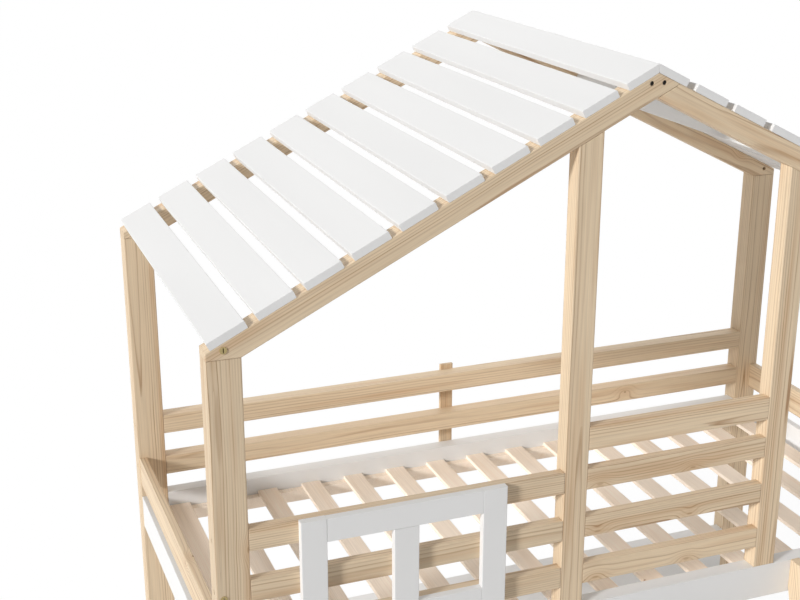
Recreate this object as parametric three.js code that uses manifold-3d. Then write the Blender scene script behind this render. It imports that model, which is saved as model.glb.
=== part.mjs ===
// A child's loft bed with a roof of slats. Four corner posts carry two pairs of rafters, boards and guard
// rails hold a slatted base between the posts, a window frame sits on the front rails and a ladder stands at
// the entry.
// Millimetres, Z up. While it is built, X = 0 is the ridge, Y = 0 the front faces of the posts and Z = 0 the
// floor: X runs along the bed and Y from its front to its back. The last lines bring the origin under the
// middle of the whole bed, ladder included.

import * as THREE from 'three';
import { mergeVertices } from 'three/addons/utils/BufferGeometryUtils.js';
import Module from 'manifold-3d';

const wasm = await Module();
wasm.setup();

// Overall sizes: the length and width are over the corner posts, the ridge is the top edge of the roof
const bed_length = 2080;
const bed_width = 1018;
const ridge_height = 2271.5;
const roof_rise = 519;
const deck_height = 900;

// Gap left between two pieces that seat on each other, and the length by which a cutter passes through
const joint_gap = 0.3;
const cut_overrun = 5;

// Rounding of the straight timbers' long edges, and chamfer of the pieces that are cut to an outline
const timber_ease = 2;
const ease_facets = 3;
const outline_chamfer = 1;

// Corner posts, with recessed holes for the bolts that come in from the ends of the bed
const post_width = 77;
const post_depth = 56;
const bolt_bore_radius = 5.5;
const bore_sides = 16;

// Rafters, with two fastener bores at the ridge joint and one above each post
const rafter_depth = 50;
const rafter_thickness = 56;
const fastener_bore_radius = 5.5;
const ridge_bore_drop = 43;
const ridge_bore_left = 16.5;
const ridge_bore_right = 15;
const foot_bore_rise = 21;

// Roof slats, set back up the slope from the ends of the rafters
const roof_slat_setback = 3;
const roof_slat_width = 92.5;
const roof_slat_thickness = 18;
const roof_slats_per_slope = 10;

// Purlin: a slat on edge between the right rafters, flush with their lower edges, and its place on the slope
const purlin_distance = 369;

// Intermediate posts on the front, under the rafters
const mid_post_width = 61;
const mid_post_depth = 45;
const window_post_offset = 129;
const entry_post_offset = 375;

// Side boards and end boards around the slatted base
const board_height = 95;
const board_above_deck = 42;
const side_board_thickness = 42;
const end_board_thickness = 22;
const end_inset = 2.5;
const board_bolt_spacing = 57;
const low_board_top = 448;
const low_board_height = 150;

// Guard rails, from the side board up
const rail_height = 55;
const front_rail_thickness = 27;
const rear_rail_thickness = 45;
const lowest_rail_gap = 59;
const rail_gap = 73;
const top_rail_gap = 49;
const top_rail_height = 60;
const top_rail_thickness = 29;
const end_rail_height = 82;
const end_rail_gap = 39;

// Batten outside the rear rails
const batten_width = 41;
const batten_offset = 52;
const batten_above_rail = 15;

// Slatted base: slats on a ledger along each side board. The base lies a little towards the entry, and the
// slats at its two ends are closer to their neighbours
const base_slat_count = 15;
const base_slat_width = 58;
const base_end_gap = 41.5;
const base_shift = 8;
const base_end_shift = 7;
const base_slat_thickness = 12;
const ledger_bearing = 22;
const ledger_height = 36;
const ledger_housing = 2;

// Window frame on the front rails, whose top stands a little above the upper rail
const window_above_rail = 2.5;
const window_width = 502;
const window_post_gap = 112.5;
const window_thickness = 19;
const window_bar_width = 61;
const window_rail_height = 58.5;

// Ladder: two raked stiles with the treads housed between them
const ladder_width = 420;
const stile_thickness = 27;
const stile_depth = 100;
const stile_seat_height = 80;
const ladder_run = 260;
const tread_count = 3;
const tread_depth = 90;
const tread_thickness = 25;
const tread_housing = 9;

// The roof's planes: a depth is measured square to the roof, from the top faces of the slats
const half_length = bed_length / 2;
const roof_slope = roof_rise / half_length;
const roof_angle = Math.atan(roof_slope);
const slope_length = Math.hypot(half_length, roof_rise);
const rafter_top_depth = roof_slat_thickness + joint_gap;
const rafter_low_depth = rafter_top_depth + rafter_depth;

/** Height of the roof plane that lies at a depth below the slats' top faces, at a place along the bed. */
function roof_height(x, depth) {
  return ridge_height - Math.abs(x) * roof_slope - depth / Math.cos(roof_angle);
}

/** Distance past the ridge at which a slope's plane meets the other slope's plane that is higher by depth. */
function ridge_crossing(depth) {
  return depth / Math.cos(roof_angle) / (2 * roof_slope);
}

// Places that several pieces share
const post_inner_x = half_length - post_width;
const rear_post_face = bed_width - post_depth;
const seat_height = roof_height(post_inner_x, rafter_low_depth);
const foot_bore_x = half_length - post_width / 2;
const end_board_face = half_length - end_inset;
const board_top = deck_height + board_above_deck;
const board_bottom = board_top - board_height;

// Finishes
const pine = new THREE.MeshStandardMaterial({ color: 0xdcc29b, roughness: 0.6, metalness: 0 });
const white_paint = new THREE.MeshStandardMaterial({ color: 0xececea, roughness: 0.5, metalness: 0 });
const slat_wood = new THREE.MeshStandardMaterial({ color: 0xe0c8ad, roughness: 0.7, metalness: 0 });

const bed = new THREE.Group();

const unit_x = new THREE.Vector3(1, 0, 0);
const unit_y = new THREE.Vector3(0, 1, 0);
const unit_z = new THREE.Vector3(0, 0, 1);

const middle = ([from, to]) => (from + to) / 2;
const span = ([from, to]) => to - from;

/** A range along X from an inner to an outer distance on one side of the ridge: -1 left, 1 right. */
function sided(side, inner, outer) {
  return side < 0 ? [-outer, -inner] : [inner, outer];
}

/** A closed outline with its corners rounded. */
function eased_outline(corners) {
  const shape = new THREE.Shape();
  const towards = (corner, other) => other.clone().sub(corner).setLength(timber_ease).add(corner);
  corners.forEach((corner, i) => {
    const enter = towards(corner, corners.at(i - 1));
    const leave = towards(corner, corners[(i + 1) % corners.length]);
    if (i === 0) shape.moveTo(enter.x, enter.y);
    else shape.lineTo(enter.x, enter.y);
    shape.quadraticCurveTo(corner.x, corner.y, leave.x, leave.y);
  });
  shape.closePath();
  return shape;
}

/** The corners of a rectangle about the origin. */
function rectangle(width, height) {
  return [
    new THREE.Vector2(-width / 2, -height / 2),
    new THREE.Vector2(width / 2, -height / 2),
    new THREE.Vector2(width / 2, height / 2),
    new THREE.Vector2(-width / 2, height / 2),
  ];
}

// How a section's own axes turn when its timber runs along X, Y or Z
const along_axes = {
  x: new THREE.Matrix4().makeBasis(unit_y, unit_z, unit_x),
  y: new THREE.Matrix4().makeBasis(unit_z, unit_x, unit_y),
  z: new THREE.Matrix4(),
};

/** A straight timber with eased long edges, about its own middle, from an outline of its section. */
function timber_geometry(section, length, along) {
  const settings = { depth: length, bevelEnabled: false, curveSegments: ease_facets };
  const geometry = new THREE.ExtrudeGeometry(section, settings);
  geometry.translate(0, 0, -length / 2);
  return geometry.applyMatrix4(along_axes[along]);
}

/** A rectangular timber that fills three ranges, about its own middle. */
function beam_geometry(along, x_range, y_range, z_range) {
  const size = { x: span(x_range), y: span(y_range), z: span(z_range) };
  const across = { x: [size.y, size.z], y: [size.z, size.x], z: [size.x, size.y] }[along];
  return timber_geometry(eased_outline(rectangle(...across)), size[along], along);
}

/** Adds a named piece to the bed. */
function add_piece(name, finish, geometry, position, parent = bed) {
  const piece = new THREE.Mesh(geometry, finish);
  piece.name = name;
  piece.position.copy(position);
  parent.add(piece);
  return piece;
}

/** Adds a rectangular timber that fills three ranges. */
function add_beam(name, finish, along, ...ranges) {
  return add_piece(name, finish, beam_geometry(along, ...ranges), new THREE.Vector3(...ranges.map(middle)));
}

/** A board cut to an outline, with its edges chamfered, about the middle of its outline and thickness. */
function profile_geometry(corners, thickness, turn) {
  const settings = {
    depth: thickness - 2 * outline_chamfer,
    bevelThickness: outline_chamfer,
    bevelSize: outline_chamfer,
    bevelOffset: -outline_chamfer,
    bevelSegments: 1,
  };
  const centre = new THREE.Box2().setFromPoints(corners).getCenter(new THREE.Vector2());
  const outline = new THREE.Shape(corners.map((corner) => corner.clone().sub(centre)));
  const geometry = new THREE.ExtrudeGeometry(outline, settings);
  geometry.translate(0, 0, outline_chamfer - thickness / 2);
  return { geometry: geometry.applyMatrix4(turn), centre };
}

/** Adds a board whose outline is drawn in X and Z and whose thickness fills a range along Y. */
function add_elevation(name, finish, corners, y_range) {
  const turn = new THREE.Matrix4().makeBasis(unit_x, unit_z, unit_y.clone().negate());
  const { geometry, centre } = profile_geometry(corners, span(y_range), turn);
  return add_piece(name, finish, geometry, new THREE.Vector3(centre.x, middle(y_range), centre.y));
}

/** Adds a board whose outline is drawn in Y and Z and whose thickness fills a range along X. */
function add_cross_section(name, finish, corners, x_range) {
  const { geometry, centre } = profile_geometry(corners, span(x_range), along_axes.x);
  return add_piece(name, finish, geometry, new THREE.Vector3(middle(x_range), centre.x, centre.y));
}

/** A closed mesh as a solid for joining and cutting. */
function solid_of(geometry) {
  const bare = geometry.clone();
  bare.deleteAttribute('normal');
  bare.deleteAttribute('uv');
  const merged = mergeVertices(bare);
  return new wasm.Manifold(new wasm.Mesh({
    numProp: 3,
    vertProperties: merged.attributes.position.array,
    triVerts: new Uint32Array(merged.index.array),
  }));
}

/** A solid back as a mesh. */
function geometry_of(solid) {
  const { vertProperties, triVerts } = solid.getMesh();
  const geometry = new THREE.BufferGeometry();
  geometry.setAttribute('position', new THREE.BufferAttribute(vertProperties, 3));
  geometry.setIndex(new THREE.BufferAttribute(triVerts, 1));
  geometry.computeVertexNormals();
  return geometry;
}

/** Cuts shapes, given in the bed's own coordinates, out of a piece that isn't turned. */
function cut(piece, cutters) {
  const local = (cutter) => solid_of(cutter.translate(...piece.position.clone().negate()));
  const whole = solid_of(piece.geometry);
  piece.geometry = geometry_of(cutters.map(local).reduce((rest, tool) => rest.subtract(tool), whole));
}

/** A round cutter along Y through a thickness, at a place and height. */
function bore_along_y(x, z, y_range, radius) {
  const length = span(y_range) + 2 * cut_overrun;
  return new THREE.CylinderGeometry(radius, radius, length, bore_sides).translate(x, middle(y_range), z);
}

/** A round cutter along X through a thickness, at a depth and height. */
function bore_along_x(y, z, x_range, radius) {
  const length = span(x_range) + 2 * cut_overrun;
  const geometry = new THREE.CylinderGeometry(radius, radius, length, bore_sides);
  return geometry.rotateZ(Math.PI / 2).translate(middle(x_range), y, z);
}

// Guard rails' ranges along Z, from the lowest up
const rail_levels = [];
for (let bottom = board_top + lowest_rail_gap; rail_levels.length < 3; bottom += rail_height + rail_gap) {
  rail_levels.push([bottom, bottom + rail_height]);
}
const [low_rail, middle_rail, upper_rail] = rail_levels;
const top_rail = [upper_rail[1] + top_rail_gap, upper_rail[1] + top_rail_gap + top_rail_height];

/** Corner posts, bored from the ends of the bed for the rails and boards that butt against them. */
function add_corner_posts() {
  const board_bolts = (top, height) => {
    return [-1, 1].map((step) => top - height / 2 + step * board_bolt_spacing / 2);
  };
  const side_bolts = board_bolts(board_top, board_height);
  const front_bolts = { left: [...rail_levels.map(middle), ...side_bolts], right: side_bolts };
  const low_bolts = board_bolts(low_board_top, low_board_height);
  const rear_bolts = [middle(low_rail), middle(middle_rail), ...side_bolts, ...low_bolts];
  for (const [side, hand] of [[-1, 'left'], [1, 'right']]) {
    const x_range = sided(side, post_inner_x, half_length);
    const z_range = [0, seat_height - joint_gap];
    for (const [place, y_range, heights] of [
      ['front', [0, post_depth], front_bolts[hand]],
      ['rear', [rear_post_face, bed_width], rear_bolts],
    ]) {
      const post = add_beam(`corner_post_${place}_${hand}`, pine, 'z', x_range, y_range, z_range);
      cut(post, heights.map((height) => bore_along_x(middle(y_range), height, x_range, bolt_bore_radius)));
    }
  }
}

/** Rafters: seated level on the posts, cut plumb at the eaves, the left one run through at the ridge. */
function add_rafters() {
  const foot = (side) => [
    new THREE.Vector2(side * half_length, roof_height(half_length, rafter_top_depth)),
    new THREE.Vector2(side * half_length, seat_height),
    new THREE.Vector2(side * post_inner_x, seat_height),
  ];
  const on_roof = (x, depth) => new THREE.Vector2(x, roof_height(x, depth));
  const left = [
    ...foot(-1),
    on_roof(ridge_crossing(rafter_depth), rafter_top_depth),
    on_roof(0, rafter_top_depth),
  ];
  const right = [
    ...foot(1),
    on_roof(ridge_crossing(joint_gap), rafter_low_depth),
    on_roof(ridge_crossing(rafter_depth + joint_gap), rafter_top_depth),
  ];
  const ridge_bore_height = ridge_height - ridge_bore_drop;
  const foot_bore_height = seat_height + foot_bore_rise;
  for (const [place, y_range] of [
    ['front', [0, rafter_thickness]],
    ['rear', [bed_width - rafter_thickness, bed_width]],
  ]) {
    const bore = (x, z) => bore_along_y(x, z, y_range, fastener_bore_radius);
    const left_rafter = add_elevation(`rafter_${place}_left`, pine, left, y_range);
    const right_rafter = add_elevation(`rafter_${place}_right`, pine, right, y_range);
    cut(left_rafter, [
      bore(-ridge_bore_left, ridge_bore_height),
      bore(ridge_bore_right, ridge_bore_height),
      bore(-foot_bore_x, foot_bore_height),
    ]);
    cut(right_rafter, [bore(foot_bore_x, foot_bore_height)]);
  }
}

/** Roof slats across both slopes, from the ridge to the eaves, the two at the ridge mitred together. */
function add_roof_slats() {
  const pitch = (slope_length - roof_slat_width) / (roof_slats_per_slope - 1);
  const mitre = roof_slat_thickness * roof_slope;
  for (const [side, hand] of [[-1, 'left'], [1, 'right']]) {
    const slope = new THREE.Group();
    slope.position.set(0, bed_width / 2, ridge_height);
    slope.rotation.y = side * roof_angle;
    bed.add(slope);
    for (let i = 0; i < roof_slats_per_slope; i++) {
      const upper = i === 0 ? joint_gap : i * pitch - roof_slat_setback;
      const lower = i * pitch + roof_slat_width - roof_slat_setback;
      const centre = (upper + lower) / 2;
      const section = [
        new THREE.Vector2(0, side * (upper - centre)),
        new THREE.Vector2(0, side * (lower - centre)),
        new THREE.Vector2(-roof_slat_thickness, side * (lower - centre)),
        new THREE.Vector2(-roof_slat_thickness, side * (upper - centre + (i === 0 ? mitre : 0))),
      ];
      const geometry = timber_geometry(eased_outline(section), bed_width, 'y');
      const name = `roof_slat_${hand}_${String(i + 1).padStart(2, '0')}`;
      add_piece(name, white_paint, geometry, new THREE.Vector3(side * centre, 0, 0), slope);
    }
  }
}

/** Purlin under the right slope's slats, square to the roof, from the front rafter to the rear one. */
function add_purlin() {
  const on_slope = (distance, depth) => new THREE.Vector2(
    distance * Math.cos(roof_angle) - depth * Math.sin(roof_angle),
    distance * Math.sin(roof_angle) + depth * Math.cos(roof_angle),
  );
  const height = rafter_depth;
  const centre = on_slope(purlin_distance + roof_slat_thickness / 2, rafter_top_depth + height / 2);
  const length = bed_width - 2 * (rafter_thickness + joint_gap);
  const section = eased_outline(rectangle(height, roof_slat_thickness));
  const geometry = timber_geometry(section, length, 'y').rotateY(roof_angle);
  const position = new THREE.Vector3(centre.x, bed_width / 2, ridge_height - centre.y);
  add_piece('roof_purlin', white_paint, geometry, position);
}

/** Front posts between the side board and the rafters, their tops cut to the roof. */
function add_mid_posts() {
  const foot = board_top + joint_gap;
  const depth = rafter_low_depth + joint_gap;
  for (const [name, [from, to]] of [
    ['window_post', sided(-1, window_post_offset, window_post_offset + mid_post_width)],
    ['entry_post', sided(1, entry_post_offset, entry_post_offset + mid_post_width)],
  ]) {
    const corners = [
      new THREE.Vector2(from, foot),
      new THREE.Vector2(to, foot),
      new THREE.Vector2(to, roof_height(to, depth)),
      new THREE.Vector2(from, roof_height(from, depth)),
    ];
    add_elevation(name, pine, corners, [0, mid_post_depth]);
  }
}

/** Side boards, end boards and end rails between the corner posts. */
function add_boards() {
  const between_posts = [-post_inner_x + joint_gap, post_inner_x - joint_gap];
  const board_range = [board_bottom, board_top];
  const rear_range = [rear_post_face, rear_post_face + side_board_thickness];
  const low_range = [low_board_top - low_board_height, low_board_top];
  add_beam('side_board_front', white_paint, 'x', between_posts, [0, side_board_thickness], board_range);
  add_beam('side_board_rear', white_paint, 'x', between_posts, rear_range, board_range);
  add_beam('low_board_rear', white_paint, 'x', between_posts, rear_range, low_range);

  const across = [post_depth + joint_gap, rear_post_face - joint_gap];
  const end_rail_range = [board_top + end_rail_gap, board_top + end_rail_gap + end_rail_height];
  for (const [side, hand] of [[-1, 'left'], [1, 'right']]) {
    const x_range = sided(side, end_board_face - end_board_thickness, end_board_face);
    add_beam(`end_board_${hand}`, white_paint, 'y', x_range, across, board_range);
    add_beam(`end_rail_${hand}`, pine, 'y', x_range, across, end_rail_range);
  }
}

/** Guard rails: three left of the window post, four up to the entry post, two at the back, and a batten. */
function add_guard_rails() {
  const front_range = [0, front_rail_thickness];
  const left_range = [-post_inner_x + joint_gap, -window_post_offset - mid_post_width - joint_gap];
  const right_range = [-window_post_offset + joint_gap, entry_post_offset - joint_gap];
  for (const [level, z_range] of [['low', low_rail], ['middle', middle_rail], ['upper', upper_rail]]) {
    add_beam(`front_rail_left_${level}`, pine, 'x', left_range, front_range, z_range);
    add_beam(`front_rail_right_${level}`, pine, 'x', right_range, front_range, z_range);
  }
  add_beam('front_rail_right_top', pine, 'x', right_range, [0, top_rail_thickness], top_rail);

  const rear_length = [-post_inner_x + joint_gap, post_inner_x - joint_gap];
  const rear_range = [rear_post_face, rear_post_face + rear_rail_thickness];
  add_beam('rear_rail_low', pine, 'x', rear_length, rear_range, low_rail);
  add_beam('rear_rail_middle', pine, 'x', rear_length, rear_range, middle_rail);
  const batten_front = rear_post_face + Math.max(rear_rail_thickness, side_board_thickness) + joint_gap;
  const batten_x = sided(-1, batten_offset, batten_offset + batten_width);
  const batten_z = [board_bottom, middle_rail[1] + batten_above_rail];
  add_beam('rear_batten', pine, 'z', batten_x, [batten_front, bed_width], batten_z);
}

/** The slatted base: a front ledger, and the slats in one piece with the rear ledger they are let into. */
function add_slatted_base() {
  const origin = new THREE.Vector3(0, bed_width / 2, deck_height);
  const slat_range = [post_depth + joint_gap, rear_post_face - joint_gap];
  const slat_bottom = deck_height - base_slat_thickness;
  const ledger_x = [-post_inner_x + joint_gap, post_inner_x - joint_gap];
  const front_y = [side_board_thickness + joint_gap, post_depth + ledger_bearing];
  const front_top = slat_bottom - joint_gap;
  add_beam('base_ledger_front', slat_wood, 'x', ledger_x, front_y, [front_top - ledger_height, front_top]);

  const rear_y = [rear_post_face - ledger_bearing, rear_post_face - joint_gap];
  const rear_top = slat_bottom + ledger_housing;
  const solid_beam = (along, ...ranges) => {
    const geometry = beam_geometry(along, ...ranges);
    return solid_of(geometry.translate(...ranges.map(middle)).translate(...origin.clone().negate()));
  };
  const parts = [solid_beam('x', ledger_x, rear_y, [rear_top - ledger_height, rear_top])];
  const last_centre = end_board_face - end_board_thickness - base_end_gap - base_slat_width / 2;
  for (let i = 0; i < base_slat_count; i++) {
    const along = 2 * i / (base_slat_count - 1) - 1;
    const inwards = Math.abs(along) === 1 ? -along * base_end_shift : 0;
    const centre = last_centre * along + base_shift + inwards;
    const x_range = [centre - base_slat_width / 2, centre + base_slat_width / 2];
    parts.push(solid_beam('y', x_range, slat_range, [slat_bottom, deck_height]));
  }
  const joined = parts.reduce((base, part) => base.add(part));
  add_piece('slatted_base', slat_wood, geometry_of(joined), origin);
}

/** Window frame: the outer stiles run its full height, the rails butt between them, the bar between those. */
function add_window_frame() {
  const y_range = [-window_thickness - joint_gap, -joint_gap];
  const left = -post_inner_x + window_post_gap;
  const right = left + window_width;
  const bottom = low_rail[0];
  const top = upper_rail[1] + window_above_rail;
  const inner_x = [left + window_bar_width + joint_gap, right - window_bar_width - joint_gap];
  const inner_z = [bottom + window_rail_height + joint_gap, top - window_rail_height - joint_gap];
  const bar_x = [middle(inner_x) - window_bar_width / 2, middle(inner_x) + window_bar_width / 2];
  add_beam('window_stile_left', white_paint, 'z', [left, left + window_bar_width], y_range, [bottom, top]);
  add_beam('window_stile_right', white_paint, 'z', [right - window_bar_width, right], y_range, [bottom, top]);
  add_beam('window_rail_bottom', white_paint, 'x', inner_x, y_range, [bottom, bottom + window_rail_height]);
  add_beam('window_rail_top', white_paint, 'x', inner_x, y_range, [top - window_rail_height, top]);
  add_beam('window_bar_middle', white_paint, 'z', bar_x, y_range, inner_z);
}

// The stile's rake: its back edge runs from the low end of its seat on the side board to the floor
const stile_seat_low = board_top - stile_seat_height;
const rake_slope = stile_seat_low / ladder_run;
const stile_level_depth = stile_depth * Math.hypot(rake_slope, 1) / rake_slope;
const ladder_foot_y = -joint_gap - ladder_run - stile_level_depth;

/** Ladder at the entry: stiles cut level at the floor and plumb on the side board, treads housed in them. */
function add_ladder() {
  const centre_x = (entry_post_offset + mid_post_width + post_inner_x) / 2;
  const back_y = -joint_gap;
  const front_y_at = (height) => ladder_foot_y + height / rake_slope;
  const corners = [
    new THREE.Vector2(ladder_foot_y, 0),
    new THREE.Vector2(back_y - ladder_run, 0),
    new THREE.Vector2(back_y, stile_seat_low),
    new THREE.Vector2(back_y, board_top),
    new THREE.Vector2(front_y_at(board_top), board_top),
  ];
  const treads = [];
  for (let i = 1; i <= tread_count; i++) {
    const top = i * deck_height / (tread_count + 1);
    const centre_y = front_y_at(top - tread_thickness / 2) + stile_level_depth / 2;
    treads.push({ y: centre_y, z: top - tread_thickness / 2 });
  }
  const inner = ladder_width / 2 - stile_thickness;
  const housing = new THREE.Vector3(
    2 * (inner + tread_housing),
    tread_depth + 2 * joint_gap,
    tread_thickness + 2 * joint_gap,
  );
  for (const [side, hand] of [[-1, 'left'], [1, 'right']]) {
    const [from, to] = sided(side, inner, ladder_width / 2);
    const stile = add_cross_section(`ladder_stile_${hand}`, pine, corners, [centre_x + from, centre_x + to]);
    cut(stile, treads.map(({ y, z }) => new THREE.BoxGeometry(...housing).translate(centre_x, y, z)));
  }
  const reach = inner + tread_housing - joint_gap;
  treads.forEach(({ y, z }, i) => add_beam(
    `ladder_tread_${i + 1}`,
    pine,
    'x',
    [centre_x - reach, centre_x + reach],
    [y - tread_depth / 2, y + tread_depth / 2],
    [z - tread_thickness / 2, z + tread_thickness / 2],
  ));
}

add_corner_posts();
add_rafters();
add_roof_slats();
add_purlin();
add_mid_posts();
add_boards();
add_guard_rails();
add_slatted_base();
add_window_frame();
add_ladder();

// The origin is on the floor, under the middle of the length and of the depth from the ladder to the back
bed.position.y = -(ladder_foot_y + bed_width) / 2;

export default bed;
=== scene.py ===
"""The looks of a child's loft bed in pine and white paint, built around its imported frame, in metres."""

import math
import random
from collections import namedtuple

import bmesh
import bpy
from mathutils import Euler, Matrix, Vector


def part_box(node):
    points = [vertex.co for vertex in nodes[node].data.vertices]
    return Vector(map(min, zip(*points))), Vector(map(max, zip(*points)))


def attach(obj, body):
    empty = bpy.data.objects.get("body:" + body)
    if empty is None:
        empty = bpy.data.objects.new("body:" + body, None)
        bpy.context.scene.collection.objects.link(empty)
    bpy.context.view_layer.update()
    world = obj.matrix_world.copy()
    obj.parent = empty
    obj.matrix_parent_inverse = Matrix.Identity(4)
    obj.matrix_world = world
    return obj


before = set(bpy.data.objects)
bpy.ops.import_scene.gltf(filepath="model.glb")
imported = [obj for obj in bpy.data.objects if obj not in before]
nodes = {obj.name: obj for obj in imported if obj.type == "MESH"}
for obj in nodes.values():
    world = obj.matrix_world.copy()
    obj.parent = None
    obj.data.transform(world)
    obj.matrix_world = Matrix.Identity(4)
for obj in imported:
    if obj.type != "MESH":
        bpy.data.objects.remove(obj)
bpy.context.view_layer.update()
bpy.ops.object.select_all(action="DESELECT")

# Corner posts
# Four pine posts, planed, with softly rounded edges and a matt lacquer. The grain is drawn as it grows: in
# rings round the heart of the tree, which runs beside each timber and wanders, so that faces show streaks,
# arches and knots.
MM = 0.001
PINE_PALE = (0.80, 0.64, 0.45, 1)
PINE_RING = (0.33, 0.155, 0.055, 1)
PINE_STREAK = (0.62, 0.385, 0.205, 1)
PINE_KNOT = (0.33, 0.18, 0.08, 1)
PINE_RING_WIDTH = 6.0 * MM
PINE_RING_DEPTH = 1.0
PINE_ROUGHNESS = 0.5
PINE_RELIEF = 0.006 * MM
PINE_EDGE = 3.5 * MM
PINE_SHADE = 0.97
TIMBER_GLOSS = 0.25
TIMBER_BUMP = 0.6
EDGE_SAMPLES = 6


class Recipe:
    """A node tree that grows step by step: each step adds one node and gives its output back."""

    def __init__(self, tree):
        self.tree = tree

    def feed(self, made, inputs):
        """Links each input that is another node's output, and sets each that is a plain value."""
        for key, value in inputs.items():
            if isinstance(value, bpy.types.NodeSocket):
                self.tree.links.new(value, made.inputs[key])
            else:
                made.inputs[key].default_value = value

    def node(self, kind, inputs=(), **settings):
        made = self.tree.nodes.new(kind)
        for key, value in settings.items():
            setattr(made, key, value)
        self.feed(made, dict(inputs))
        return made

    def math(self, operation, *values):
        return self.node("ShaderNodeMath", enumerate(values), operation=operation).outputs[0]

    def vector(self, operation, *values):
        made = self.node("ShaderNodeVectorMath", enumerate(values), operation=operation)
        return made.outputs["Value" if operation == "LENGTH" else "Vector"]

    def bell(self, value):
        """1 where the value is 0, falling smoothly to almost nothing by 2."""
        return self.math("EXPONENT", self.math("MULTIPLY", self.math("POWER", value, 2.0), -1.0))

    def spread(self, value, low, high, start=0.0, end=1.0, **settings):
        """Stretches a value's range from low to high onto start to end, held at both ends."""
        limits = {"Value": value, "From Min": low, "From Max": high, "To Min": start, "To Max": end}
        return self.node("ShaderNodeMapRange", limits, **settings).outputs[0]

    def noise(self, vector, along, across, detail=2.0):
        """Noise stretched along X: its two numbers are spots per metre along and across the timber."""
        stretched = self.vector("MULTIPLY", vector, (along, across, across))
        return self.node("ShaderNodeTexNoise", {"Vector": stretched, "Scale": 1.0, "Detail": detail}).outputs

    def steps(self, value, stops):
        """A curve through (place, level) stops."""
        made = self.node("ShaderNodeValToRGB", {"Fac": value})
        elements = made.color_ramp.elements
        while len(elements) < len(stops):
            elements.new(0.5)
        for element, (place, level) in zip(elements, stops):
            element.position = place
            element.color = (level, level, level, 1)
        return made.outputs[0]

    def mix(self, share, first, second, blend="MIX"):
        inputs = {0: share, 6: first, 7: second}
        return self.node("ShaderNodeMix", inputs, data_type="RGBA", blend_type=blend).outputs[2]


HEART_SPOTS = (0.9, 3.0)
HEART_SWAY = 26 * MM

KNOT_HEART_DISTANCE = 65 * MM
KNOT_SPACING = (0.42, 0.12)
KNOT_STRETCH = (0.8, 1, 0)
KNOT_RADIUS = (2.5 * MM, 5.0 * MM)
KNOT_RIM = (1.15, 0.8)
KNOT_REACH = 20 * MM
KNOT_SHARE = 0.12
KNOT_LIFT = 2.6


def stray_knots(r, moved):
    """The dark of knots and the swell round them, on a loose lattice of places that mostly stay empty."""
    parts = r.node("ShaderNodeSeparateXYZ", {0: moved}).outputs
    around = r.math("MULTIPLY", r.math("ARCTAN2", parts["Z"], parts["Y"]), KNOT_HEART_DISTANCE)
    sheet = r.node("ShaderNodeCombineXYZ", {"X": parts["X"], "Y": around}).outputs[0]
    spaced = r.vector("DIVIDE", sheet, (*KNOT_SPACING, 1))
    lattice = {"Vector": spaced, "Scale": 1.0}
    cell = r.node("ShaderNodeTexVoronoi", lattice, voronoi_dimensions="2D").outputs
    offset = r.vector("MULTIPLY", r.vector("SUBTRACT", spaced, cell["Position"]), (*KNOT_SPACING, 0))
    distance = r.vector("LENGTH", r.vector("MULTIPLY", offset, KNOT_STRETCH))
    choice = r.node("ShaderNodeSeparateColor", {0: cell["Color"]}).outputs
    present = r.math("LESS_THAN", choice["Red"], KNOT_SHARE)
    size = r.spread(choice["Green"], 0, 1, *KNOT_RADIUS)
    dark = r.spread(r.math("DIVIDE", distance, size), *KNOT_RIM, interpolation_type="SMOOTHSTEP")
    swell = r.bell(r.math("DIVIDE", distance, KNOT_REACH))
    return r.math("MULTIPLY", dark, present), r.math("MULTIPLY", swell, present)


RING_PROFILE = ((0.0, 0.45), (0.08, 0.1), (0.3, 0.0), (0.7, 0.15), (0.9, 1.0), (1.0, 0.45))
RING_SPOTS = (3.0, 45.0)
RING_UNREST = 1.1
RING_STRENGTH_POWER = 1.8
RING_STRENGTH = (0.2, 1)
FADE_SPOTS = (2.2, 30.0)
# a range gives the lowest and highest value that come in, and what these two become
FADE_RANGE = (0.35, 0.62, 0.5, 1)


def ring_lines(r, place, radius, bulge, ring_width):
    """Rings that darken from spring wood to thin summer wood, no two alike and none even along its run."""
    unrest = r.math("MULTIPLY", r.noise(place, *RING_SPOTS)["Fac"], RING_UNREST)
    count = r.math("ADD", r.math("DIVIDE", radius, ring_width), unrest)
    count = r.math("ADD", count, r.math("MULTIPLY", bulge, KNOT_LIFT))
    line = r.steps(r.math("FRACT", count), RING_PROFILE)
    ring = r.math("FLOOR", count)
    luck = r.node("ShaderNodeTexWhiteNoise", {"W": ring}, noise_dimensions="1D").outputs["Value"]
    strength = r.spread(r.math("POWER", luck, RING_STRENGTH_POWER), 0, 1, *RING_STRENGTH)
    fade = r.spread(r.noise(place, *FADE_SPOTS)["Fac"], *FADE_RANGE)
    return r.math("MULTIPLY", r.math("MULTIPLY", line, strength), fade)


FIBRE_SPOTS = (7.0, 480.0)
FIBRE_TONE = 0.34
FIBRE_RELIEF = 0.5
RESIN_SPOTS = (1.8, 34.0)
RESIN_RANGE = (0.53, 0.72, 0, 0.5)
PATCH_SPOTS = (1.1, 8.0)
PATCH_TONE = 0.26
BASE_TONE = 0.70
SWELL_STREAK = 0.35
KNOT_COVER = 0.8


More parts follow.
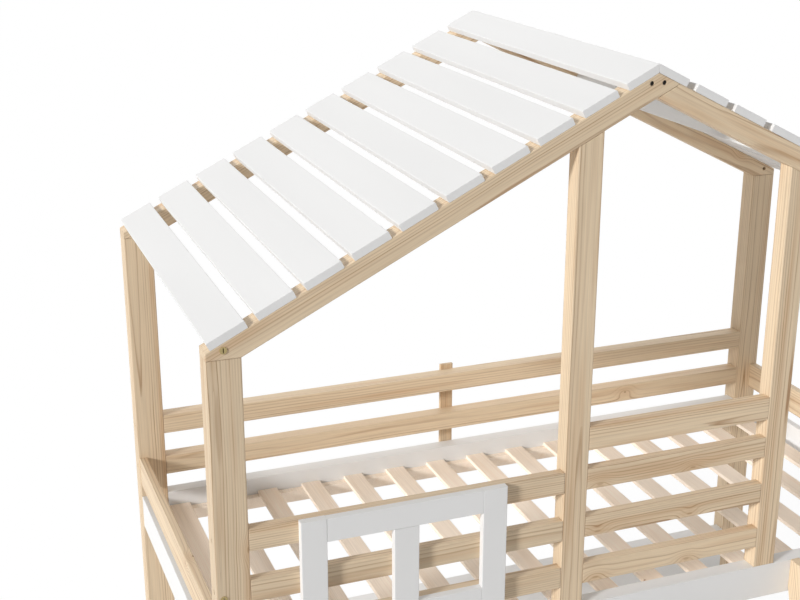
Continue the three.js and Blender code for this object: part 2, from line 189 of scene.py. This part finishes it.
def timber_group(name, pale, ring, streak, knot, ring_width, ring_depth):
    """A group that turns a place beside the tree's heart, with X along it, into colour and relief."""
    group = bpy.data.node_groups.new(name, "ShaderNodeTree")
    for label, way, kind in (
        ("Vector", "INPUT", "NodeSocketVector"),
        ("Knot", "INPUT", "NodeSocketFloat"),
        ("Bulge", "INPUT", "NodeSocketFloat"),
        ("Color", "OUTPUT", "NodeSocketColor"),
        ("Relief", "OUTPUT", "NodeSocketFloat"),
    ):
        group.interface.new_socket(label, in_out=way, socket_type=kind)
    r = Recipe(group)
    given = r.node("NodeGroupInput").outputs
    place = given["Vector"]

    # the heart wanders from the straight, and its distance gives the ring
    wander = r.vector("SUBTRACT", r.noise(place, *HEART_SPOTS, detail=1.0)["Color"], (0.5, 0.5, 0.5))
    moved = r.vector("ADD", place, r.vector("MULTIPLY", wander, (0, HEART_SWAY, HEART_SWAY)))
    radius = r.vector("LENGTH", r.vector("MULTIPLY", moved, (0, 1, 1)))
    dark, swell = stray_knots(r, moved)
    core = r.math("MAXIMUM", dark, given["Knot"])
    bulge = r.math("MAXIMUM", swell, given["Bulge"])
    line = ring_lines(r, place, radius, bulge, ring_width)

    # fibres, darker streaks of resin and slow changes of tone along the timber
    fibre = r.noise(place, *FIBRE_SPOTS, detail=3.0)["Fac"]
    resin = r.spread(r.noise(place, *RESIN_SPOTS)["Fac"], *RESIN_RANGE)
    patch = r.noise(place, *PATCH_SPOTS, detail=1.0)["Fac"]
    wood = r.mix(resin, pale, streak)
    wood = r.mix(r.math("MULTIPLY", line, ring_depth), wood, ring)
    tone = r.math("ADD", r.math("MULTIPLY", fibre, FIBRE_TONE), r.math("MULTIPLY", patch, PATCH_TONE))
    tone = r.math("ADD", tone, BASE_TONE)
    wood = r.node("ShaderNodeHueSaturation", {"Color": wood, "Value": tone}).outputs[0]
    wood = r.mix(r.math("MULTIPLY", bulge, SWELL_STREAK), wood, streak)
    wood = r.mix(r.math("MULTIPLY", core, KNOT_COVER), wood, knot)

    relief = r.math("ADD", line, r.math("MULTIPLY", fibre, FIBRE_RELIEF))
    r.node("NodeGroupOutput", {"Color": wood, "Relief": relief})
    return group


def new_finish(name):
    """A new material, its recipe, its shader, and the place on the bed that its pattern reads."""
    finish = bpy.data.materials.new(name)
    finish.use_nodes = True
    r = Recipe(finish.node_tree)
    here = r.node("ShaderNodeTexCoord").outputs["Object"]
    return finish, r, r.tree.nodes["Principled BSDF"], here


Wood = namedtuple("Wood", "group roughness relief edge")
Knot = namedtuple("Knot", "spot half_length half_width darkness swell")
SHOWN_KNOT_RIM = (1.3, 0.6)
SHOWN_KNOT_REACH = (1.6 * KNOT_REACH, KNOT_REACH, KNOT_REACH)


def timber_finish(name, wood, turn, shift, knots, shade):
    """The finish of one timber: its wood's grain, turned along it and shifted to its own part of the tree.

    The knots are those that show at a known place. One with a swell of 0 is a patch of resin, which the
    rings don't bend round. Shade darkens the whole timber, since no two come from the same tree.
    """
    finish, r, surface, here = new_finish(name)
    place = r.node("ShaderNodeMapping", {"Vector": here, "Rotation": turn, "Location": shift}).outputs[0]
    core, bulge = 0.0, 0.0
    for shown in knots:
        centre = Vector(shown.spot)
        centre.rotate(Euler(turn))
        away = r.vector("SUBTRACT", place, tuple(centre + Vector(shift)))
        half_size = (shown.half_length, shown.half_width, shown.half_width)
        near = r.vector("LENGTH", r.vector("DIVIDE", away, half_size))
        dark = r.spread(near, *SHOWN_KNOT_RIM, 0, shown.darkness, interpolation_type="SMOOTHSTEP")
        swell = r.bell(r.vector("LENGTH", r.vector("DIVIDE", away, SHOWN_KNOT_REACH)))
        core = r.math("MAXIMUM", dark, core)
        bulge = r.math("MAXIMUM", r.math("MULTIPLY", swell, shown.swell), bulge)
    inputs = {"Vector": place, "Knot": core, "Bulge": bulge}
    grain = r.node("ShaderNodeGroup", inputs, node_tree=wood.group).outputs
    soft = r.node("ShaderNodeBevel", {"Radius": wood.edge}, samples=EDGE_SAMPLES).outputs["Normal"]
    bump = {"Height": grain["Relief"], "Strength": TIMBER_BUMP, "Distance": wood.relief, "Normal": soft}
    r.feed(surface, {
        "Base Color": r.mix(1.0, grain["Color"], (shade, shade, shade, 1), "MULTIPLY"),
        "Normal": r.node("ShaderNodeBump", bump).outputs["Normal"],
        "Roughness": wood.roughness,
        "Specular IOR Level": TIMBER_GLOSS,
    })
    return finish


TURN_ALONG = {"x": (0, 0, 0), "y": (0, 0, -math.pi / 2), "z": (0, math.pi / 2, 0)}
TREE_LENGTH = (3, 40)
HEART_REACH = (35, 75)
tree_stock = random.Random(7)


def dress(node, finish):
    """Gives a CAD piece its finish in place of the plain one that it was packed with."""
    finishes = nodes[node].data.materials
    finishes.clear()
    finishes.append(finish)


def clothe_timber(node, wood, turn, heart, knots=(), shade=1.0):
    """Gives a CAD timber a finish of its own; heart is its middle's place across the tree."""
    low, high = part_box(node)
    middle = (low + high) / 2
    middle.rotate(Euler(turn))
    shift = Vector((tree_stock.uniform(*TREE_LENGTH), *heart)) - middle
    dress(node, timber_finish(f"{wood.group.name}_{node}", wood, turn, shift, knots, shade))


pine_group = timber_group(
    "pine", PINE_PALE, PINE_RING, PINE_STREAK, PINE_KNOT, PINE_RING_WIDTH, PINE_RING_DEPTH
)
pine_wood = Wood(pine_group, PINE_ROUGHNESS, PINE_RELIEF, PINE_EDGE)


def pine(node, turn, heart=None, knots=(), shade=PINE_SHADE):
    """Pine for one timber, cut from a place of its own beside the heart unless that is given."""
    if heart is None:
        angle = tree_stock.uniform(0, 2 * math.pi)
        reach = tree_stock.uniform(*HEART_REACH) * MM
        heart = (reach * math.cos(angle), reach * math.sin(angle))
    clothe_timber(node, pine_wood, turn, heart, knots, shade)


FRONT_LEFT_HEART = (34 * MM, -26 * MM)
FRONT_LEFT_SHADE = 0.90
EDGE_KNOT_HEIGHT = 1262 * MM
RESIN_PLACE = -1019.5 * MM
RESIN_HEIGHT = 1560 * MM
POST_HEART = 44 * MM
POST_HEART_SIDE = (-25, 25)

low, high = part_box("corner_post_front_left")
edge_spot = (high.x, low.y, EDGE_KNOT_HEIGHT)
resin_spot = (RESIN_PLACE, low.y, RESIN_HEIGHT)
shown_knots = [
    Knot(edge_spot, half_length=9 * MM, half_width=5 * MM, darkness=0.55, swell=1),
    Knot(resin_spot, half_length=85 * MM, half_width=7 * MM, darkness=0.42, swell=0),
]
pine("corner_post_front_left", TURN_ALONG["z"], FRONT_LEFT_HEART, shown_knots, FRONT_LEFT_SHADE)
for post in ("front_right", "rear_left", "rear_right"):
    heart = (POST_HEART, tree_stock.uniform(*POST_HEART_SIDE) * MM)
    pine(f"corner_post_{post}", TURN_ALONG["z"], heart)

# Side boards, end boards and end rails
# The boards round the base are pine under a satin white that hides all but a faint relief of the grain. They
# butt against the posts and are bolted through them; each end has a bare pine rail above its board.
WHITE = (0.82, 0.816, 0.809, 1)
PAINT_ROUGHNESS = 0.6
PAINT_GLOSS = 0.2
PAINT_GRAIN_SPOTS = (6.0, 260.0)
PAINT_CLOUD_SPOTS = (1.5, 9.0)
PAINT_CLOUD_RANGE = (0, 1, 0.97, 1.03)
PAINT_BUMP = 0.35
PAINT_RELIEF = 0.04 * MM


def white_paint(run):
    """White paint, clouded a little, over a grain that runs along the named axis."""
    paint, r, surface, here = new_finish(f"white_paint_{run}")
    place = r.node("ShaderNodeMapping", {"Vector": here, "Rotation": TURN_ALONG[run]}).outputs[0]
    grain = r.noise(place, *PAINT_GRAIN_SPOTS, detail=3.0)["Fac"]
    cloud = r.spread(r.noise(place, *PAINT_CLOUD_SPOTS, detail=1.0)["Fac"], *PAINT_CLOUD_RANGE)
    bump = {"Height": grain, "Strength": PAINT_BUMP, "Distance": PAINT_RELIEF}
    r.feed(surface, {
        "Base Color": r.node("ShaderNodeHueSaturation", {"Color": WHITE, "Value": cloud}).outputs[0],
        "Normal": r.node("ShaderNodeBump", bump).outputs["Normal"],
        "Roughness": PAINT_ROUGHNESS,
        "Specular IOR Level": PAINT_GLOSS,
    })
    return paint


white_paints = {run: white_paint(run) for run in TURN_ALONG}
for board in ("side_board_front", "side_board_rear", "low_board_rear"):
    dress(board, white_paints["x"])
for hand in ("left", "right"):
    dress(f"end_board_{hand}", white_paints["y"])
    pine(f"end_rail_{hand}", TURN_ALONG["y"])

# Slatted base
# Planed softwood without lacquer, paler than the frame: broad slats across the bed, let into a ledger behind
# and resting on a second one in front. The ledgers run lengthwise between the corner posts.
# the slats' colour is their own pale tone, lightened further as painted light for the bed's shaded inside
SLAT_PALE = (0.98, 0.85, 0.715, 1)
SLAT_RING = (0.78, 0.60, 0.46, 1)
SLAT_STREAK = (0.90, 0.73, 0.57, 1)
SLAT_KNOT = (0.46, 0.27, 0.15, 1)
SLAT_RING_WIDTH = 4.2 * MM
SLAT_RING_DEPTH = 0.35
SLAT_ROUGHNESS = 0.62
SLAT_RELIEF = 0.02 * MM
SLAT_EDGE = 2 * MM
SLAT_HEART = (0, 55 * MM)
LEDGER_HEART = (30 * MM, 40 * MM)
slat_group = timber_group(
    "slat_wood", SLAT_PALE, SLAT_RING, SLAT_STREAK, SLAT_KNOT, SLAT_RING_WIDTH, SLAT_RING_DEPTH
)
slat_wood = Wood(slat_group, SLAT_ROUGHNESS, SLAT_RELIEF, SLAT_EDGE)
clothe_timber("slatted_base", slat_wood, TURN_ALONG["y"], SLAT_HEART)
clothe_timber("base_ledger_front", slat_wood, TURN_ALONG["x"], LEDGER_HEART)

# Guard rails and rear batten
# Lacquered pine rails between the posts, each from its own stretch of the tree, with small knots low on the
# three that stand right of the window, and an upright batten screwed to the back of the rear rails.
LEFT_RAIL_SHADE = 0.93
LEFT_KNOT_PLACE = -94 * MM
LEFT_KNOT_RISE = 10 * MM
RIGHT_KNOT_PLACE = 166 * MM
RIGHT_KNOT_RISE = 9 * MM
REAR_KNOT_PLACE = 538.5 * MM
REAR_KNOT_HEIGHT = 1031.7 * MM
for level in ("low", "middle", "upper"):
    pine(f"front_rail_left_{level}", TURN_ALONG["x"], shade=LEFT_RAIL_SHADE)
    low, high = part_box(f"front_rail_right_{level}")
    left_spot = (LEFT_KNOT_PLACE, low.y, low.z + LEFT_KNOT_RISE)
    right_spot = (RIGHT_KNOT_PLACE, low.y, low.z + RIGHT_KNOT_RISE)
    shown_knots = [
        Knot(left_spot, half_length=9 * MM, half_width=3.2 * MM, darkness=0.4, swell=1),
        Knot(right_spot, half_length=8 * MM, half_width=3.0 * MM, darkness=0.45, swell=1),
    ]
    pine(f"front_rail_right_{level}", TURN_ALONG["x"], knots=shown_knots)
pine("front_rail_right_top", TURN_ALONG["x"])
pine("rear_rail_middle", TURN_ALONG["x"])
low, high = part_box("rear_rail_low")
rear_spot = (REAR_KNOT_PLACE, low.y, REAR_KNOT_HEIGHT)
rear_knot = Knot(rear_spot, half_length=4 * MM, half_width=3 * MM, darkness=0.8, swell=1)
pine("rear_rail_low", TURN_ALONG["x"], knots=[rear_knot])
pine("rear_batten", TURN_ALONG["z"])

# Window post and entry post
# Slimmer pine posts of the same lacquered stock that stand on the front board and reach the rafters. The
# guard rails end at them, and their tops are cut to the roof's slope.
SLIM_POST_HEART = 40 * MM
SLIM_POST_HEART_SIDE = (-30, 30)
for post in ("window_post", "entry_post"):
    heart = (SLIM_POST_HEART, tree_stock.uniform(*SLIM_POST_HEART_SIDE) * MM)
    pine(post, TURN_ALONG["z"], heart)

# Window
# A frame of two stiles, two rails and a middle bar, without a pane, fixed in front of the left guard rails.
# It is of wood under the same satin white as the boards, with the grain along each of its pieces.
for node in nodes:
    if node.startswith("window_rail"):
        dress(node, white_paints["x"])
    if node.startswith(("window_stile", "window_bar")):
        dress(node, white_paints["z"])

# Rafters
# Pine, 56 mm thick, seated level on the posts and cut plumb at the eaves; the left one runs through at the
# ridge. The grain follows the slope.
ROOF_RISE = 519 * MM
ROOF_RUN = 1040 * MM
ROOF_ANGLE = math.atan2(ROOF_RISE, ROOF_RUN)
LEFT_RAFTER_HEART = (48 * MM, 30 * MM)
RIGHT_RAFTER_HEART = (-50 * MM, 30 * MM)
for side in ("front", "rear"):
    pine(f"rafter_{side}_left", (0, ROOF_ANGLE, 0), LEFT_RAFTER_HEART)
    pine(f"rafter_{side}_right", (0, -ROOF_ANGLE, 0), RIGHT_RAFTER_HEART)

# Roof slats and purlin
# White painted slats lie across both slopes from ridge to eaves on top of the rafters, and the two at the
# ridge meet in a mitre. A painted board on edge stiffens the right slope.
for node in nodes:
    if node.startswith(("roof_slat", "roof_purlin")):
        dress(node, white_paints["y"])

# Ladder
# Two raked pine stiles with three treads between them, at the entry opening. They have the frame's lacquer,
# and the stiles' grain follows their rake.
LADDER_RUN = 260 * MM
LADDER_RISE = 862 * MM
STILE_RAKE = math.atan2(LADDER_RUN, LADDER_RISE)
for hand in ("left", "right"):
    pine(f"ladder_stile_{hand}", (STILE_RAKE, math.pi / 2, 0))
for node in nodes:
    if node.startswith("ladder_tread"):
        pine(node, TURN_ALONG["x"])

# Cap bolts
# Brass bolts with a broad, thin, slotted head: one in the bore at the foot of either front rafter, and one
# further down in each front post's face. Their slots are coloured a near-black brass as painted shade.
HEAD_SIDES = 40
HEAD_RADIUS = 8.0 * MM
HEAD_HEIGHT = 2.0 * MM
HEAD_EASE = 0.35 * MM
BODY_RADIUS = 5.0 * MM
BODY_LENGTH = 52 * MM
SLOT_WIDTH = 2.0 * MM
SLOT_LENGTH = 11 * MM
SLOT_DEPTH = 2.5 * MM
FACING = 0.9
EASE_STEPS = 2
SMOOTH_ANGLE = math.radians(35)


def select_faces(piece, wanted):
    """In edit mode, selects only the faces for which wanted(face) is true."""
    bpy.ops.mesh.select_mode(type="FACE")
    bpy.ops.mesh.select_all(action="DESELECT")
    grid = bmesh.from_edit_mesh(piece.data)
    for face in grid.faces:
        face.select_set(wanted(face))
    bmesh.update_edit_mesh(piece.data)


def turned_blank(sides, head_radius, head_height, head_middle, shank_radius, shank_length):
    """A round head with a slimmer shank behind it, along Y, and nothing cut into it yet."""
    bpy.ops.object.select_all(action="DESELECT")
    bpy.ops.mesh.primitive_cylinder_add(
        vertices=sides,
        radius=head_radius,
        depth=head_height,
        rotation=(math.pi / 2, 0, 0),
        location=(0, head_middle, 0),
    )
    blank = bpy.context.object
    bpy.ops.object.transform_apply()
    bpy.ops.object.mode_set(mode="EDIT")
    select_faces(blank, lambda face: face.normal.y > FACING)
    bpy.ops.mesh.inset(thickness=head_radius - shank_radius)
    bpy.ops.mesh.extrude_region_move(TRANSFORM_OT_translate={"value": (0, shank_length, 0)})
    bpy.ops.object.mode_set(mode="OBJECT")
    bpy.ops.object.select_all(action="DESELECT")
    return blank


def cut_with(piece, blade):
    """Cuts the blade's shape out of a piece and clears the blade away."""
    cutter = piece.modifiers.new("cut", "BOOLEAN")
    cutter.operation = "DIFFERENCE"
    cutter.object = blade
    bpy.ops.object.select_all(action="DESELECT")
    bpy.context.view_layer.objects.active = piece
    piece.select_set(True)
    bpy.ops.object.modifier_apply(modifier="cut")
    bpy.data.objects.remove(blade)


def ease_edges(piece, width):
    """Bevels the sharp edges and shades what is left smooth."""
    easing = piece.modifiers.new("ease", "BEVEL")
    easing.width = width
    easing.segments = EASE_STEPS
    easing.limit_method = "ANGLE"
    bpy.ops.object.modifier_apply(modifier="ease")
    bpy.ops.object.shade_smooth_by_angle(angle=SMOOTH_ANGLE)


BLOTCH_SPOTS = (900.0, 900.0)
MARK_SPOTS = (4000.0, 4000.0)
WEAR_RANGE = (0.4, 0.7)
DULL_SHARE = 0.55
SHEEN_RANGE = (0.3, 0.7)
SHEEN_STEP = 0.15
METAL_BUMP = 0.3
METAL_RELIEF = 0.03 * MM


def metal(name, color, roughness, wear):
    """A metal with fine turning marks and a blotchy sheen."""
    made, r, surface, here = new_finish(name)
    blotch = r.noise(here, *BLOTCH_SPOTS, detail=3.0)["Fac"]
    marks = r.noise(here, *MARK_SPOTS)["Fac"]
    dull = tuple(DULL_SHARE * level for level in color[:3]) + (1,)
    bump = {"Height": marks, "Strength": METAL_BUMP, "Distance": METAL_RELIEF}
    r.feed(surface, {
        "Base Color": r.mix(r.spread(blotch, *WEAR_RANGE, 0, wear), color, dull),
        "Roughness": r.spread(blotch, *SHEEN_RANGE, roughness, roughness + SHEEN_STEP),
        "Normal": r.node("ShaderNodeBump", bump).outputs["Normal"],
        "Metallic": 1.0,
    })
    return made


brass = metal("brass", color=(0.56, 0.45, 0.22, 1), roughness=0.34, wear=0.5)
# a near-black brass for the slots: painted shade inside their recess
slot_shade = metal("brass_painted_slot_shade", color=(0.16, 0.12, 0.05, 1), roughness=0.6, wear=0.5)


def place_copy(model, name, turn, spot):
    """Puts a copy of a modelled fastener at its spot, turned about Z, and fixes it to the bed."""
    piece = model.copy()
    piece.data = model.data.copy()
    piece.name = name
    bpy.context.scene.collection.objects.link(piece)
    piece.data.transform(Matrix.Translation(spot) @ Matrix.Rotation(turn, 4, "Z"))
    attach(piece, "root")


cap_bolt = turned_blank(HEAD_SIDES, HEAD_RADIUS, HEAD_HEIGHT, -HEAD_HEIGHT / 2, BODY_RADIUS, BODY_LENGTH)
slot_size = (SLOT_WIDTH, 2 * SLOT_DEPTH, SLOT_LENGTH)
bpy.ops.mesh.primitive_cube_add(size=1, location=(0, -HEAD_HEIGHT, 0), scale=slot_size)
cut_with(cap_bolt, bpy.context.object)
cap_bolt.data.materials.append(brass)
cap_bolt.data.materials.append(slot_shade)

# the slot's walls and floor are the faces within its outline, a hair below the head's top
# these faces take the near-black brass, which paints the shade in the slot
SLOT_OUTLINE = 0.51
UNDER_TOP = 0.95
for face in cap_bolt.data.polygons:
    centre = face.center
    in_outline = max(abs(centre.x) / SLOT_WIDTH, abs(centre.z) / SLOT_LENGTH) < SLOT_OUTLINE
    if in_outline and -UNDER_TOP * HEAD_HEIGHT < centre.y < SLOT_DEPTH:
        face.material_index = 1
ease_edges(cap_bolt, HEAD_EASE)

RAFTER_BORE_RISE = 21.3 * MM
LOWER_BOLT_OFFSET = 23 * MM
LOWER_BOLT_HEIGHT = 1150 * MM
for hand, out in (("left", -1), ("right", 1)):
    low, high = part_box(f"corner_post_front_{hand}")
    across = (low.x + high.x) / 2
    rafter_spot = (across, low.y, high.z + RAFTER_BORE_RISE)
    post_spot = (across + out * LOWER_BOLT_OFFSET, low.y, LOWER_BOLT_HEIGHT)
    place_copy(cap_bolt, f"cap_bolt_rafter_{hand}", 0, rafter_spot)
    place_copy(cap_bolt, f"cap_bolt_post_{hand}", 0, post_spot)
bpy.data.objects.remove(cap_bolt)

# Post bolts and ridge bolts
# Bolts with a hexagon socket, sunk below the timber in their bores: zinc-plated ones through the posts from
# both ends of the bed into each rail and board, coloured darker than plating as painted shade in the bores,
# and dark ones across the ridge joint of either pair of rafters and through the foot of each rear rafter.
BOLT_SIDES = 32
BOLT_HEAD_RADIUS = 5.0 * MM
BOLT_HEAD_HEIGHT = 6.0 * MM
BOLT_SHANK_RADIUS = 3.0 * MM
BOLT_EASE = 0.3 * MM
BOLT_SINK = 2.0 * MM
SOCKET_SIDES = 6
SOCKET_RADIUS = 2.9 * MM
SOCKET_DEPTH = 3.0 * MM
POST_BOLT_LENGTH = 70 * MM
BOARD_BOLT_STEP = 28.5 * MM
RIDGE_BOLT_LENGTH = 45 * MM
RIDGE_BOLT_PLACES = (-16.5 * MM, 15 * MM)
RIDGE_BOLT_HEIGHT = 2228.5 * MM
# the post bolts' steel is darkened to paint the shade of the bores it sits in
steel = metal("steel", color=(0.22, 0.20, 0.175, 1), roughness=0.42, wear=0.4)
dark_steel = metal("dark_steel", color=(0.06, 0.055, 0.05, 1), roughness=0.5, wear=0.4)


def socket_bolt(length, material):
    """A socket bolt whose head faces down the Y axis, with its top at zero and its whole length along Y."""
    shank = length - BOLT_HEAD_HEIGHT
    middle = BOLT_HEAD_HEIGHT / 2
    bolt = turned_blank(BOLT_SIDES, BOLT_HEAD_RADIUS, BOLT_HEAD_HEIGHT, middle, BOLT_SHANK_RADIUS, shank)
    bpy.ops.mesh.primitive_cylinder_add(
        vertices=SOCKET_SIDES,
        radius=SOCKET_RADIUS,
        depth=2 * SOCKET_DEPTH,
        rotation=(math.pi / 2, 0, 0),
        location=(0, 0, 0),
    )
    cut_with(bolt, bpy.context.object)
    ease_edges(bolt, BOLT_EASE)
    bolt.data.materials.append(material)
    return bolt


def middle_height(node):
    low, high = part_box(node)
    return (low.z + high.z) / 2


def board_heights(node):
    """The two heights at which a board is bolted."""
    return [middle_height(node) + side * BOARD_BOLT_STEP for side in (-1, 1)]


rail_heights = [middle_height(f"front_rail_left_{level}") for level in ("low", "middle", "upper")]
side_heights = board_heights("side_board_front")
rear_heights = [middle_height("rear_rail_low"), middle_height("rear_rail_middle")]
rear_heights += side_heights + board_heights("low_board_rear")
post_bolt = socket_bolt(POST_BOLT_LENGTH, steel)
for side, hand, heights in (
    ("front", "left", rail_heights + side_heights),
    ("front", "right", side_heights),
    ("rear", "left", rear_heights),
    ("rear", "right", rear_heights),
):
    low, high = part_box(f"corner_post_{side}_{hand}")
    outer, inward, turn = (low.x, 1, -math.pi / 2) if hand == "left" else (high.x, -1, math.pi / 2)
    for number, height in enumerate(sorted(heights), 1):
        spot = (outer + inward * BOLT_SINK, (low.y + high.y) / 2, height)
        place_copy(post_bolt, f"post_bolt_{side}_{hand}_{number}", turn, spot)
bpy.data.objects.remove(post_bolt)

ridge_bolt = socket_bolt(RIDGE_BOLT_LENGTH, dark_steel)
for side, turn, inward in (("front", 0, 1), ("rear", math.pi, -1)):
    low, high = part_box(f"rafter_{side}_left")
    face = low.y if side == "front" else high.y
    for number, across in enumerate(RIDGE_BOLT_PLACES, 1):
        spot = (across, face + inward * BOLT_SINK, RIDGE_BOLT_HEIGHT)
        place_copy(ridge_bolt, f"ridge_bolt_{side}_{number}", turn, spot)
for hand in ("left", "right"):
    low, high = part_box(f"corner_post_rear_{hand}")
    spot = ((low.x + high.x) / 2, high.y - BOLT_SINK, high.z + RAFTER_BORE_RISE)
    place_copy(ridge_bolt, f"rafter_bolt_rear_{hand}", math.pi, spot)
bpy.data.objects.remove(ridge_bolt)

# Studio
# A pale floor that reads white to the camera and keeps a faint shadow, a key light from the left front and
# broad soft light from the right and from behind. The world is dim for what it lights and white when seen.
FLOOR_SPAN = 90
FLOOR_TONE = (0.9, 0.9, 0.9, 1)
PLAIN_WHITE = (1, 1, 1, 1)
FLOOR_GLOW = 1.04
FLOOR_GLOW_SHARE = 0.88
WORLD_LIGHT = 0.18


def bare_recipe(owner):
    """The recipe of a material or world, on a node tree with nothing in it."""
    owner.use_nodes = True
    r = Recipe(owner.node_tree)
    for old in list(r.tree.nodes):
        r.tree.nodes.remove(old)
    return r


bpy.ops.object.select_all(action="DESELECT")
bpy.ops.mesh.primitive_plane_add(size=FLOOR_SPAN)
floor = bpy.context.object
floor.name = "floor"
ground = bpy.data.materials.new("floor")
r = bare_recipe(ground)
matt = r.node("ShaderNodeBsdfDiffuse", {"Color": FLOOR_TONE}).outputs[0]
glow = r.node("ShaderNodeEmission", {"Color": PLAIN_WHITE, "Strength": FLOOR_GLOW}).outputs[0]
seen = r.node("ShaderNodeLightPath").outputs["Is Camera Ray"]
share = r.math("MULTIPLY", seen, FLOOR_GLOW_SHARE)
mixed = r.node("ShaderNodeMixShader", {0: share, 1: matt, 2: glow}).outputs[0]
r.node("ShaderNodeOutputMaterial", {"Surface": mixed})
floor.data.materials.append(ground)

world = bpy.data.worlds.new("studio")
bpy.context.scene.world = world
r = bare_recipe(world)
path = r.node("ShaderNodeLightPath").outputs
seen = r.math("MAXIMUM", path["Is Camera Ray"], path["Is Glossy Ray"])
seen = r.math("MAXIMUM", seen, path["Is Transmission Ray"])
dim = r.node("ShaderNodeBackground", {"Color": PLAIN_WHITE, "Strength": WORLD_LIGHT}).outputs[0]
white = r.node("ShaderNodeBackground", {"Color": PLAIN_WHITE, "Strength": 1.0}).outputs[0]
mixed = r.node("ShaderNodeMixShader", {0: seen, 1: dim, 2: white}).outputs[0]
r.node("ShaderNodeOutputWorld", {"Surface": mixed})


def sun(name, strength, spread, direction):
    """A lamp whose light travels in one direction, softened over a spread of degrees."""
    lamp = bpy.data.lights.new(name, "SUN")
    lamp.energy = strength
    lamp.angle = math.radians(spread)
    made = bpy.data.objects.new(name, lamp)
    bpy.context.scene.collection.objects.link(made)
    made.rotation_euler = Vector(direction).to_track_quat("-Z", "Y").to_euler()


sun("key_light", strength=2.65, spread=10, direction=(2.3, 1.0, -0.9))
sun("right_light", strength=0.6, spread=90, direction=(-1.0, 0.0, -0.7))
sun("back_light", strength=1.15, spread=90, direction=(0.0, -1.0, -0.7))

# Camera
# It stands left of the bed's front corner, above the roof, and looks down along the frame as in the
# photograph. The bed's straight edges there gave its place in metres, its dip and turn in degrees, and its
# focal length in pixels.
PHOTO_WIDTH = 800
FOCAL_PIXELS = 1354.68
SENSOR_WIDTH = 36
CAMERA_PLACE = (-1.5899, -2.9037, 2.7484)
CAMERA_DIP = 19.012
CAMERA_TURN = 20.825
FAR_LIMIT = 200
camera_data = bpy.data.cameras.new("camera")
camera_data.sensor_width = SENSOR_WIDTH
camera_data.lens = FOCAL_PIXELS / PHOTO_WIDTH * SENSOR_WIDTH
camera_data.clip_end = FAR_LIMIT
camera = bpy.data.objects.new("camera", camera_data)
bpy.context.scene.collection.objects.link(camera)
camera.location = CAMERA_PLACE
camera.rotation_euler = (math.radians(90 - CAMERA_DIP), 0, math.radians(-CAMERA_TURN))
bpy.context.scene.camera = camera

bpy.context.scene.view_settings.view_transform = "Standard"
